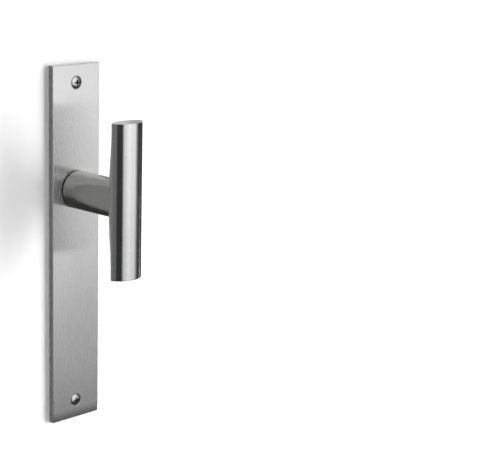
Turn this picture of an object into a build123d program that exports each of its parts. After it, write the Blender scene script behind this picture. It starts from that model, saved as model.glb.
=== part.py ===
from build123d import *
from math import atan2, cos, degrees, radians, sin, sqrt
import os

# T-shaped door handle on a long blind backplate, with a spring that brings it back upright.
# Sizes are in millimetres. Seen from the front, X runs to the right and Z up, and Y runs into the door.
# The origin lies on the spindle's axis, on the plate's back face, which rests against the door.

# Backplate
plate_width = 40.0
plate_height = 240.0
plate_thickness = 4.0
plate_above_axis = 82.5
plate_edge_break = 0.2

# Two raised countersunk wood screws through the plate
screw_inset = 12.25
screw_hole_diameter = 4.6
screw_seat_diameter = 9.0
screw_head_diameter = 8.5
screw_head_rise = 1.3
screw_cone_angle = 90.0
screw_shank_diameter = 4.2
screw_thread_diameter = 3.8
screw_length = 30.0
screw_plain_depth = 7.0
screw_tip_length = 4.0
screw_recess_width = 4.0
screw_recess_slot = 1.0
screw_recess_depth = 2.0
screw_recess_taper = 8.0

# Grip bar: a lens section with a straight front and a back that swells towards the neck
bar_length = 101.4
bar_width = 25.0
bar_front_depth = 7.7
bar_end_back_depth = 5.5
bar_middle_back_depth = 10.5
bar_tip_radius = 2.0
bar_end_break = 0.3
bar_projection = 60.0
bar_sections = 5

# Neck and its journals
neck_diameter = 25.0
neck_edge_break = 0.3
front_journal_diameter = 18.0
seat_diameter = 17.0
seat_flats = 15.4
rear_journal_diameter = 15.0
journal_stub = 1.5
running_fit = 0.05
seat_fit = 0.02

# Bushes that carry the journals
bush_flange_thickness = 0.8
front_flange_diameter = 24.4
front_bush_diameter = 21.0
rear_flange_diameter = 20.0
rear_bush_diameter = 18.0

# Stud between the neck and the bar
stud_diameter = 8.0
stud_in_bar = 11.5
stud_in_neck = 11.0
stud_end_room = 0.5
thread_fit = 0.03

# Square spindle and the set screw that grips it
spindle_width = 8.0
spindle_in_neck = 24.0
spindle_out_of_door = 55.0
spindle_end_break = 0.8
spindle_fit = 0.05
set_screw_diameter = 5.0
set_screw_length = 8.0
set_screw_behind_plate_front = 11.0
set_screw_key = 2.5
set_screw_key_depth = 2.5

# Spring housing, sunk a little into the plate's back
housing_width = 35.0
housing_height = 54.0
housing_recess_depth = 1.0
housing_fit = 0.1
housing_floor = 1.5
spring_room_radius = 16.0
disc_room_radius = 14.6
cover_thickness = 1.2
housing_screw_inset = 3.7
housing_screw_angle = 40.0
housing_screw_diameter = 3.0
housing_screw_length = 12.0
housing_screw_hole = 3.2
housing_screw_head = 5.6
housing_screw_head_height = 1.9
housing_screw_slot = 0.8
tapped_room = 0.15

# Driver: disc, hub, finger between the spring's legs and a tab for the stops
disc_gap = 0.2
disc_thickness = 1.6
disc_radius = 14.3
hub_radius = 10.2
hub_end_gap = 0.2
finger_width = 4.0
finger_inner_radius = 12.7
tab_radius = 15.7
tab_half_angle = 12.0
turn_each_way = 45.0
stop_margin = 1.0

# Torsion spring with two legs that stand beside the finger and the post
wire_width = 1.2
coil_radius = 11.3
coil_turns = 3
coil_pitch = 1.3
spring_end_gap = 0.15
leg_gap = 0.05
leg_bend_radius = 1.4
leg_top = 15.3

# Washers and retaining ring behind the cover
washer_outer_diameter = 21.0
washer_bore_gap = 0.1
thrust_washer_thickness = 0.5
curved_washer_sheet = 0.3
curved_washer_height = 1.0
ring_thickness = 1.0
ring_groove_diameter = 14.3
ring_groove_gap = 0.1
ring_outer_radius = 10.0
ring_offset = 0.5
ring_gap = 2.4
ring_ear_radius = 2.0
ring_ear_hole = 0.85
ring_ear_spacing = 5.8
ring_ear_drop = 9.9

# Depths along the axis, from the front of the bar to the end of the journal
plate_front = -plate_thickness
recess_floor = -housing_recess_depth
bar_tip_depth = bar_front_depth - bar_projection
flange_front = plate_front - bush_flange_thickness
shoulder = flange_front - running_fit
housing_inside = recess_floor + housing_floor
disc_front = housing_inside + disc_gap
disc_back = disc_front + disc_thickness
spring_front = disc_back + spring_end_gap
leg_side = finger_width / 2 + leg_gap + wire_width / 2
bend_centre_side = leg_side - leg_bend_radius
bend_centre_distance = coil_radius + leg_bend_radius
bend_centre_up = sqrt(bend_centre_distance**2 - bend_centre_side**2)
coil_end_angle = degrees(atan2(bend_centre_side, bend_centre_up))
coil_height = (coil_turns + 2 * coil_end_angle / 360) * coil_pitch
coil_start_depth = spring_front + wire_width / 2
spring_back = coil_start_depth + coil_height + wire_width / 2
cover_front = spring_back + spring_end_gap
cover_back = cover_front + cover_thickness
rear_flange_back = cover_back + bush_flange_thickness
thrust_back = rear_flange_back + thrust_washer_thickness
ring_front = thrust_back + curved_washer_height
ring_back = ring_front + ring_thickness
journal_end = ring_back + ring_groove_gap + journal_stub
housing_screw_tip = cover_back - housing_screw_length
tapped_depth = recess_floor - housing_screw_tip + tapped_room
spindle_front = plate_front - spindle_in_neck
spindle_back = spindle_out_of_door

# Housing screws stand on arcs inside the housing's round ends
housing_screw_arc = housing_width / 2 - housing_screw_inset
housing_screw_across = 2 * housing_screw_arc * sin(radians(housing_screw_angle))
housing_screw_up = (
    housing_height - housing_width + 2 * housing_screw_arc * cos(radians(housing_screw_angle))
)

# Heights on the plate
plate_middle = plate_above_axis - plate_height / 2
screw_heights = (plate_above_axis - screw_inset, plate_above_axis - plate_height + screw_inset)

os.makedirs("parts", exist_ok=True)


def facing_out(depth):
    """Plane parallel to the door at a depth, with its normal out of the door."""
    return Plane.XZ.offset(-depth)


def facing_in(depth):
    """Plane parallel to the door at a depth, with its normal into the door."""
    return Plane(origin=(0, depth, 0), x_dir=(1, 0, 0), z_dir=(0, 1, 0))


def lens_radius(depth):
    """Radius of the arc that meets both tip circles and stands the given depth off the tips' line."""
    tip_centre = bar_width / 2 - bar_tip_radius
    return (tip_centre**2 + depth**2 - bar_tip_radius**2) / (2 * (depth - bar_tip_radius))


def lens_joint(depth):
    """Where the arc of the given depth passes into the tip circle, as across and depth."""
    tip_centre = bar_width / 2 - bar_tip_radius
    centre = lens_radius(depth) - depth
    reach = lens_radius(depth) / (lens_radius(depth) - bar_tip_radius)
    return tip_centre * reach, centre * (reach - 1)


def back_depth(height):
    """Depth of the bar's back behind the tips' line, largest at the neck."""
    share = (2 * height / bar_length) ** 2
    return bar_middle_back_depth + (bar_end_back_depth - bar_middle_back_depth) * share


# Backplate: a plain slab with the bush's bore, the housing's recess and two countersunk holes
with BuildPart() as backplate:
    with BuildSketch(facing_out(0)):
        with Locations((0, plate_middle)):
            Rectangle(plate_width, plate_height)
    extrude(amount=plate_thickness)
    chamfer(backplate.faces().sort_by(Axis.Y)[0].edges(), plate_edge_break)
    with BuildSketch(facing_out(0)):
        SlotOverall(housing_height + 2 * housing_fit, housing_width + 2 * housing_fit, rotation=90)
    extrude(amount=housing_recess_depth, mode=Mode.SUBTRACT)
    with BuildSketch(facing_out(0)):
        Circle(front_bush_diameter / 2 + seat_fit)
    extrude(amount=plate_thickness, mode=Mode.SUBTRACT)
    with Locations(facing_out(plate_front)):
        with Locations(*[(0, height) for height in screw_heights]):
            CounterSinkHole(
                screw_hole_diameter / 2, screw_seat_diameter / 2, plate_thickness, screw_cone_angle
            )
    with Locations(facing_in(recess_floor)):
        with GridLocations(housing_screw_across, housing_screw_up, 2, 2):
            Hole(housing_screw_diameter / 2 + thread_fit, tapped_depth)
backplate.part.label = "backplate"
export_step(backplate.part, "parts/backplate.step")


# Wood screws: domed head on a cone, plain shank, thinner thread and point
head_radius = screw_head_diameter / 2
rim_depth = plate_front + (screw_seat_diameter - screw_head_diameter) / 2
shank_start = rim_depth + head_radius - screw_shank_diameter / 2
dome_top = rim_depth - screw_head_rise
screw_point = rim_depth + screw_length

for name, height in zip(("upper_plate_screw", "lower_plate_screw"), screw_heights):
    axis_here = Axis((0, 0, height), (0, 1, 0))
    with BuildPart() as plate_screw:
        with BuildSketch(Plane.XY.offset(height)):
            with BuildLine():
                dome = TangentArc((0, dome_top), (head_radius, rim_depth), tangent=(1, 0))
                Polyline(
                    dome @ 1,
                    (screw_shank_diameter / 2, shank_start),
                    (screw_shank_diameter / 2, screw_plain_depth),
                    (screw_thread_diameter / 2, screw_plain_depth),
                    (screw_thread_diameter / 2, screw_point - screw_tip_length),
                    (0, screw_point),
                    dome @ 0,
                )
            make_face()
        revolve(axis=axis_here)
        with BuildSketch(facing_out(dome_top)):
            with Locations((0, height)):
                Rectangle(screw_recess_width, screw_recess_slot)
                Rectangle(screw_recess_slot, screw_recess_width)
        extrude(amount=-screw_recess_depth, taper=screw_recess_taper, mode=Mode.SUBTRACT)
    plate_screw.part.label = name
    export_step(plate_screw.part, f"parts/{name}.step")


# Grip bar: the front half is extruded, and the back half is lofted because it swells towards the neck
half_length = bar_length / 2
with BuildPart() as bar_blank:
    front_across, front_rise = lens_joint(bar_front_depth)
    front_y = bar_tip_depth - front_rise
    with BuildSketch(Plane.XY.offset(-half_length)):
        with BuildLine():
            ThreePointArc(
                (-front_across, front_y), (0, bar_tip_depth - bar_front_depth), (front_across, front_y)
            )
            for side in (-1, 1):
                TangentArc(
                    (side * bar_width / 2, bar_tip_depth), (side * front_across, front_y), tangent=(0, -1)
                )
            Line((-bar_width / 2, bar_tip_depth), (bar_width / 2, bar_tip_depth))
        make_face()
    extrude(amount=bar_length)
    for step in range(bar_sections):
        height = half_length * (2 * step / (bar_sections - 1) - 1)
        back_across, back_rise = lens_joint(back_depth(height))
        back_y = bar_tip_depth + back_rise
        with BuildSketch(Plane.XY.offset(height)):
            with BuildLine():
                ThreePointArc(
                    (-back_across, back_y), (0, bar_tip_depth + back_depth(height)), (back_across, back_y)
                )
                for side in (-1, 1):
                    TangentArc(
                        (side * bar_width / 2, bar_tip_depth), (side * back_across, back_y), tangent=(0, 1)
                    )
                Line((-bar_width / 2, bar_tip_depth), (bar_width / 2, bar_tip_depth))
            make_face()
    loft()
    chamfer(bar_blank.faces().filter_by(Axis.Z).edges(), bar_end_break)

bar_back = bar_tip_depth + bar_middle_back_depth
with BuildPart() as grip_bar:
    add(bar_blank.part)
    with Locations(facing_in(bar_back)):
        Hole(stud_diameter / 2 + thread_fit, stud_in_bar + stud_end_room)
grip_bar.part.label = "grip_bar"
export_step(grip_bar.part, "parts/grip_bar.step")


# Neck: round bar coped to the back of the grip bar, with journals, a driver seat and a ring groove
seat_back = cover_front - running_fit
neck_front = bar_tip_depth
set_screw_depth = plate_front - set_screw_behind_plate_front
socket_width = spindle_width + 2 * spindle_fit
with BuildPart() as neck:
    with BuildSketch(facing_out(shoulder)):
        Circle(neck_diameter / 2)
    extrude(amount=shoulder - neck_front)
    chamfer(neck.faces().sort_by(Axis.Y)[-1].edges(), neck_edge_break)
    with BuildSketch(facing_out(disc_front)):
        Circle(front_journal_diameter / 2)
    extrude(amount=disc_front - shoulder)
    with BuildSketch(facing_out(seat_back)):
        Circle(seat_diameter / 2)
        Rectangle(seat_flats, seat_diameter, mode=Mode.INTERSECT)
    extrude(amount=seat_back - disc_front)
    with BuildSketch(facing_out(journal_end)):
        Circle(rear_journal_diameter / 2)
    extrude(amount=journal_end - seat_back)
    with BuildSketch(facing_out(ring_back + ring_groove_gap)):
        Circle(rear_journal_diameter / 2)
        Circle(ring_groove_diameter / 2, mode=Mode.SUBTRACT)
    extrude(amount=ring_thickness + ring_groove_gap, mode=Mode.SUBTRACT)
    add(bar_blank.part, mode=Mode.SUBTRACT)
    with BuildSketch(facing_out(journal_end)):
        Rectangle(socket_width, socket_width)
    extrude(amount=journal_end - spindle_front + stud_end_room, mode=Mode.SUBTRACT)
    with BuildSketch(facing_out(bar_back + stud_in_neck + stud_end_room)):
        Circle(stud_diameter / 2 + thread_fit)
    extrude(amount=stud_in_neck + stud_end_room - neck_front + bar_back, mode=Mode.SUBTRACT)
    with BuildSketch(Plane.XY.offset(-neck_diameter / 2)):
        with Locations((0, set_screw_depth)):
            Circle(set_screw_diameter / 2 + thread_fit)
    extrude(amount=neck_diameter / 2, mode=Mode.SUBTRACT)
neck.part.label = "neck"
export_step(neck.part, "parts/neck.step")


# Stud that draws the grip bar onto the neck
with BuildPart() as bar_stud:
    with BuildSketch(facing_out(bar_back + stud_in_neck)):
        Circle(stud_diameter / 2)
    extrude(amount=stud_in_neck + stud_in_bar)
    chamfer(bar_stud.edges().filter_by(GeomType.CIRCLE), stud_end_room)
bar_stud.part.label = "bar_stud"
export_step(bar_stud.part, "parts/bar_stud.step")


# Square spindle through the door
with BuildPart() as spindle:
    with BuildSketch(facing_out(spindle_back)):
        Rectangle(spindle_width, spindle_width)
    extrude(amount=spindle_back - spindle_front)
    chamfer(spindle.faces().sort_by(Axis.Y)[-1].edges(), spindle_end_break)
spindle.part.label = "spindle"
export_step(spindle.part, "parts/spindle.step")


# Set screw in the underside of the neck, its tip on the spindle's lower flat
with BuildPart() as spindle_set_screw:
    with BuildSketch(Plane.XY.offset(-spindle_width / 2 - set_screw_length)):
        with Locations((0, set_screw_depth)):
            Circle(set_screw_diameter / 2)
    extrude(amount=set_screw_length)
    with BuildSketch(Plane.XY.offset(-spindle_width / 2 - set_screw_length)):
        with Locations((0, set_screw_depth)):
            RegularPolygon(set_screw_key / 2, 6, major_radius=False)
    extrude(amount=set_screw_key_depth, mode=Mode.SUBTRACT)
spindle_set_screw.part.label = "spindle_set_screw"
export_step(spindle_set_screw.part, "parts/spindle_set_screw.step")


# Front bush: its flange is the dark ring between the neck and the plate
with BuildPart() as front_bush:
    with BuildSketch(facing_out(plate_front)):
        Circle(front_flange_diameter / 2)
    extrude(amount=bush_flange_thickness)
    with BuildSketch(facing_out(housing_inside)):
        Circle(front_bush_diameter / 2)
    extrude(amount=housing_inside - plate_front)
    with BuildSketch(facing_out(housing_inside)):
        Circle(front_journal_diameter / 2 + running_fit)
    extrude(amount=housing_inside - flange_front, mode=Mode.SUBTRACT)
front_bush.part.label = "front_bush"
export_step(front_bush.part, "parts/front_bush.step")


# Rear bush in the cover, which also takes the thrust of the retaining ring
with BuildPart() as rear_bush:
    with BuildSketch(facing_out(rear_flange_back)):
        Circle(rear_flange_diameter / 2)
    extrude(amount=bush_flange_thickness)
    with BuildSketch(facing_out(cover_back)):
        Circle(rear_bush_diameter / 2)
    extrude(amount=cover_thickness)
    with BuildSketch(facing_out(rear_flange_back)):
        Circle(rear_journal_diameter / 2 + running_fit)
    extrude(amount=rear_flange_back - cover_front, mode=Mode.SUBTRACT)
rear_bush.part.label = "rear_bush"
export_step(rear_bush.part, "parts/rear_bush.step")


# Housing: round spring room with a post at the top, and a shallower disc room with two stops below
stop_half_angle = turn_each_way + tab_half_angle + stop_margin
with BuildPart() as spring_housing:
    with BuildSketch(facing_out(cover_front)):
        SlotOverall(housing_height, housing_width, rotation=90)
    extrude(amount=cover_front - recess_floor)
    with BuildSketch(facing_out(cover_front)):
        Circle(spring_room_radius)
        with Locations((0, spring_room_radius)):
            Rectangle(finger_width, 2 * (spring_room_radius - disc_room_radius), mode=Mode.SUBTRACT)
    extrude(amount=cover_front - disc_back, mode=Mode.SUBTRACT)
    with BuildSketch(facing_out(disc_back)):
        Circle(disc_room_radius)
        with BuildLine():
            stop_arc = CenterArc((0, 0), spring_room_radius, 270 - stop_half_angle, 2 * stop_half_angle)
            Polyline(stop_arc @ 1, (0, 0), stop_arc @ 0)
        make_face()
    extrude(amount=disc_back - housing_inside, mode=Mode.SUBTRACT)
    with BuildSketch(facing_out(housing_inside)):
        Circle(front_bush_diameter / 2 + seat_fit)
    extrude(amount=housing_floor, mode=Mode.SUBTRACT)
    with BuildSketch(facing_out(cover_front)):
        with GridLocations(housing_screw_across, housing_screw_up, 2, 2):
            Circle(housing_screw_hole / 2)
    extrude(amount=cover_front - recess_floor, mode=Mode.SUBTRACT)
spring_housing.part.label = "spring_housing"
export_step(spring_housing.part, "parts/spring_housing.step")


# Cover plate behind the spring room
with BuildPart() as housing_cover:
    with BuildSketch(facing_out(cover_back)):
        SlotOverall(housing_height, housing_width, rotation=90)
        Circle(rear_bush_diameter / 2 + seat_fit, mode=Mode.SUBTRACT)
        with GridLocations(housing_screw_across, housing_screw_up, 2, 2):
            Circle(housing_screw_hole / 2, mode=Mode.SUBTRACT)
    extrude(amount=cover_thickness)
housing_cover.part.label = "housing_cover"
export_step(housing_cover.part, "parts/housing_cover.step")


# Driver on the flats of the neck: disc, hub inside the coil, finger between the legs, tab for the stops
with BuildPart() as driver_cam:
    with BuildSketch(facing_out(disc_back)):
        Circle(disc_radius)
        with BuildLine():
            tab_arc = CenterArc((0, 0), tab_radius, 270 - tab_half_angle, 2 * tab_half_angle)
            Polyline(tab_arc @ 1, (0, 0), tab_arc @ 0)
        make_face()
    extrude(amount=disc_thickness)
    with BuildSketch(facing_out(cover_front - hub_end_gap)):
        Circle(hub_radius)
    extrude(amount=cover_front - hub_end_gap - disc_back)
    with BuildSketch(facing_out(cover_front - hub_end_gap)):
        Circle(disc_radius)
        Circle(finger_inner_radius, mode=Mode.SUBTRACT)
        with Locations((0, disc_radius)):
            Rectangle(finger_width, disc_radius, mode=Mode.INTERSECT)
    extrude(amount=cover_front - hub_end_gap - disc_back)
    with BuildSketch(facing_out(cover_front)):
        Circle(seat_diameter / 2 + seat_fit)
        Rectangle(seat_flats + 2 * seat_fit, seat_diameter + 2 * seat_fit, mode=Mode.INTERSECT)
    extrude(amount=cover_front - disc_front, mode=Mode.SUBTRACT)
driver_cam.part.label = "driver_cam"
export_step(driver_cam.part, "parts/driver_cam.step")


# Torsion spring of square wire: a right-handed coil, and at each end a bend and a leg tangent to it
coil_start = radians(-coil_end_angle)
coil_plane = Plane(
    origin=(0, coil_start_depth, 0), x_dir=(sin(coil_start), 0, cos(coil_start)), z_dir=(0, 1, 0)
)
coil = coil_plane.location * Helix(coil_pitch, coil_height, coil_radius)
leg_length = leg_top - bend_centre_up
with BuildPart() as torsion_spring:
    with BuildSketch(Plane(origin=coil @ 0, x_dir=coil_plane.x_dir, z_dir=coil % 0)):
        Rectangle(wire_width, wire_width)
    sweep(path=coil, is_frenet=True)
    for end, side in ((0, -1), (1, 1)):
        coil_end = coil @ end
        outward = Vector(coil_end.X, 0, coil_end.Z).normalized()
        towards_leg = (coil % end) * side
        leg_frame = Plane(origin=coil_end, x_dir=towards_leg, z_dir=towards_leg.cross(outward))
        with BuildLine(leg_frame) as leg_path:
            bend = JernArc((0, 0), (1, 0), leg_bend_radius, 90 + coil_end_angle)
            Line(bend @ 1, bend @ 1 + leg_length * (bend % 1))
        with BuildSketch(Plane(origin=coil_end, x_dir=outward, z_dir=towards_leg)):
            Rectangle(wire_width, wire_width)
        sweep(path=leg_path.wires()[0])
torsion_spring.part.label = "torsion_spring"
export_step(torsion_spring.part, "parts/torsion_spring.step")


# Thrust washer on the rear bush
with BuildPart() as thrust_washer:
    with BuildSketch(facing_out(thrust_back)):
        Circle(washer_outer_diameter / 2)
        Circle(rear_journal_diameter / 2 + washer_bore_gap, mode=Mode.SUBTRACT)
    extrude(amount=thrust_washer_thickness)
thrust_washer.part.label = "thrust_washer"
export_step(thrust_washer.part, "parts/thrust_washer.step")


# Curved spring washer: a ring cut from a sheet bent about one axis
washer_reach = washer_outer_diameter / 2
washer_rise = curved_washer_height - curved_washer_sheet
washer_bend = (washer_reach**2 + washer_rise**2) / (2 * washer_rise)
with BuildPart() as curved_spring_washer:
    with BuildSketch(facing_out(ring_front)):
        Circle(washer_reach)
        Circle(rear_journal_diameter / 2 + washer_bore_gap, mode=Mode.SUBTRACT)
    extrude(amount=curved_washer_height)
    with BuildSketch(Plane.YZ):
        with Locations((ring_front - curved_washer_sheet - washer_bend, 0)):
            Circle(washer_bend + curved_washer_sheet)
            Circle(washer_bend, mode=Mode.SUBTRACT)
    extrude(amount=washer_reach, both=True, mode=Mode.INTERSECT)
curved_spring_washer.part.label = "curved_spring_washer"
export_step(curved_spring_washer.part, "parts/curved_spring_washer.step")


# Retaining ring in the groove: eccentric ring, open below, with two eared ends
with BuildPart() as retaining_ring:
    with BuildSketch(facing_out(ring_back)):
        with Locations((0, ring_offset)):
            Circle(ring_outer_radius)
        with Locations((0, -ring_ear_drop)):
            with GridLocations(ring_ear_spacing, 0, 2, 1):
                Circle(ring_ear_radius)
        Circle(ring_groove_diameter / 2, mode=Mode.SUBTRACT)
        with Locations((0, -ring_ear_drop)):
            Rectangle(ring_gap, ring_outer_radius, mode=Mode.SUBTRACT)
            with GridLocations(ring_ear_spacing, 0, 2, 1):
                Circle(ring_ear_hole, mode=Mode.SUBTRACT)
    extrude(amount=ring_thickness)
retaining_ring.part.label = "retaining_ring"
export_step(retaining_ring.part, "parts/retaining_ring.step")


# Four pan head screws through the cover and the housing into the plate
with Locations(facing_out(cover_back)):
    with GridLocations(housing_screw_across, housing_screw_up, 2, 2) as corners:
        corner_places = corners.locations

for number, place in enumerate(corner_places, start=1):
    across, up = place.position.X, place.position.Z
    with BuildPart() as housing_screw:
        with BuildSketch(facing_out(cover_back + housing_screw_head_height)):
            with Locations((across, up)):
                Circle(housing_screw_head / 2)
        extrude(amount=housing_screw_head_height)
        with BuildSketch(facing_out(cover_back)):
            with Locations((across, up)):
                Circle(housing_screw_diameter / 2)
        extrude(amount=housing_screw_length)
        with BuildSketch(facing_out(cover_back + housing_screw_head_height)):
            with Locations((across, up)):
                Rectangle(housing_screw_head, housing_screw_slot)
        extrude(amount=housing_screw_head_height / 2, mode=Mode.SUBTRACT)
    housing_screw.part.label = f"housing_screw_{number}"
    export_step(housing_screw.part, f"parts/housing_screw_{number}.step")
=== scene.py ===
"""Looks of a door handle: a T-shaped grip on a round neck that turns in a long blind plate.

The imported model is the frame. This file adds finer pieces that stand for the nodes in view, gives
every node a finish, and sets up a white wall, a pale floor, soft studio light and the camera.
Sizes are in millimetres and become metres in the meshes. The origin is on the spindle's axis, on
the plate's back face. X runs right, Z up and Y into the door.
"""
import logging
from dataclasses import dataclass
from enum import Enum
from math import atan2, cos, degrees, hypot, pi, radians, sin, sqrt
from typing import Sequence

import bmesh
import bpy
from bpy.types import ID, Material, Node, NodeSocket, NodeTree, Object
from mathutils import Matrix, Vector


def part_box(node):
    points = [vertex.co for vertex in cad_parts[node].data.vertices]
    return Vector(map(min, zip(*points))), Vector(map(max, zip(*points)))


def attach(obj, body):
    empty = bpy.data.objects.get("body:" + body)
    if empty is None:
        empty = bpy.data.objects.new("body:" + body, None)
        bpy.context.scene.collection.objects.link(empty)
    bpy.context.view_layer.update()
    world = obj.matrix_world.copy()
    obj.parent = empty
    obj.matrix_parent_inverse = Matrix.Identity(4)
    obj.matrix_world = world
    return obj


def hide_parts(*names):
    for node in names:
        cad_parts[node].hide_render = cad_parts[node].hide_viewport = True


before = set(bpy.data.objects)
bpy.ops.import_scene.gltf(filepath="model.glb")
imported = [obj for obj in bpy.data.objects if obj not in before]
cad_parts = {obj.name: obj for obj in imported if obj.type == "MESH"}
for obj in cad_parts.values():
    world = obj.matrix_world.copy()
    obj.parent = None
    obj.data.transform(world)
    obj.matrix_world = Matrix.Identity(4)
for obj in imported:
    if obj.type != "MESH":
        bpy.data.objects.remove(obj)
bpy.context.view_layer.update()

MM = 0.001
# How far a cutter runs past what it cuts, in mm.
OVERCUT = 1.0
# Noise keeps mostly within this range.
NOISE_RANGE = (0.3, 0.7)
# Share of the scratches in the tone. The slow blotches have the rest.
SCRATCH_SHARE = 0.7
WHITE = "#FFFFFF"
Point = tuple[float, float, float]
Flat = tuple[float, float]
Curve = tuple[Flat, ...]
Curves = tuple[tuple[Curve, Curve], ...]
logger = logging.getLogger("handle")


class Body(Enum):
    """The two rigid bodies of the handle."""

    PLATE = "plate_body"
    HANDLE = "handle_body"


class Grain(Enum):
    """Direction of the fine scratches that brushing or turning leaves, in the object's axes."""

    ALONG_X = (1.0, 0.03, 0.04)
    ALONG_Z = (0.04, 0.03, 1.0)
    ROUND_Y = (0.02, 1.0, 0.03)


# Small tools for nodes and colours


def linear(hex_code: str) -> tuple[float, float, float, float]:
    """Turn an sRGB hex colour into the linear colour that a shader takes.

    Args:
        hex_code: Colour such as "#C8C8C5".

    Returns:
        Linear red, green, blue and an alpha of 1.
    """
    channels = []
    for start in (1, 3, 5):
        value = int(hex_code[start:start + 2], 16) / 255
        channels.append(value / 12.92 if value <= 0.04045 else ((value + 0.055) / 1.055) ** 2.4)
    return (*channels, 1.0)


def add_node(tree: NodeTree, kind: str, inputs: dict | None = None, **settings: object) -> Node:
    """Add one node with its settings, and fill its inputs with values or links.

    Args:
        tree: Node tree that gets the node.
        kind: Type of the node.
        inputs: Input name or number to a value, a socket, or a node that feeds it.
        settings: Properties of the node.

    Returns:
        The new node.
    """
    node = tree.nodes.new(kind)
    for name, value in settings.items():
        setattr(node, name, value)
    for key, value in (inputs or {}).items():
        source = value.outputs[0] if isinstance(value, Node) else value
        if isinstance(source, NodeSocket):
            tree.links.new(source, node.inputs[key])
        else:
            node.inputs[key].default_value = source
    return node


def new_material(name: str) -> tuple[Material, NodeTree]:
    """Make an empty material with nodes.

    Args:
        name: Name of the material.

    Returns:
        The material and its tree.
    """
    material = bpy.data.materials.new(name)
    material.use_nodes = True
    material.node_tree.nodes.clear()
    return material, material.node_tree


def seen_rays(tree: NodeTree) -> Node:
    """Mark the rays that show things: those of the camera, of gloss and of glass.

    Args:
        tree: Tree of the material or of the world.

    Returns:
        Node with 1 for these rays and 0 for others.
    """
    rays = add_node(tree, "ShaderNodeLightPath").outputs
    seen = rays["Is Camera Ray"]
    for other in ("Is Glossy Ray", "Is Transmission Ray"):
        seen = add_node(tree, "ShaderNodeMath", {0: seen, 1: rays[other]}, operation="MAXIMUM")
    return seen


# Finishes


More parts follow.
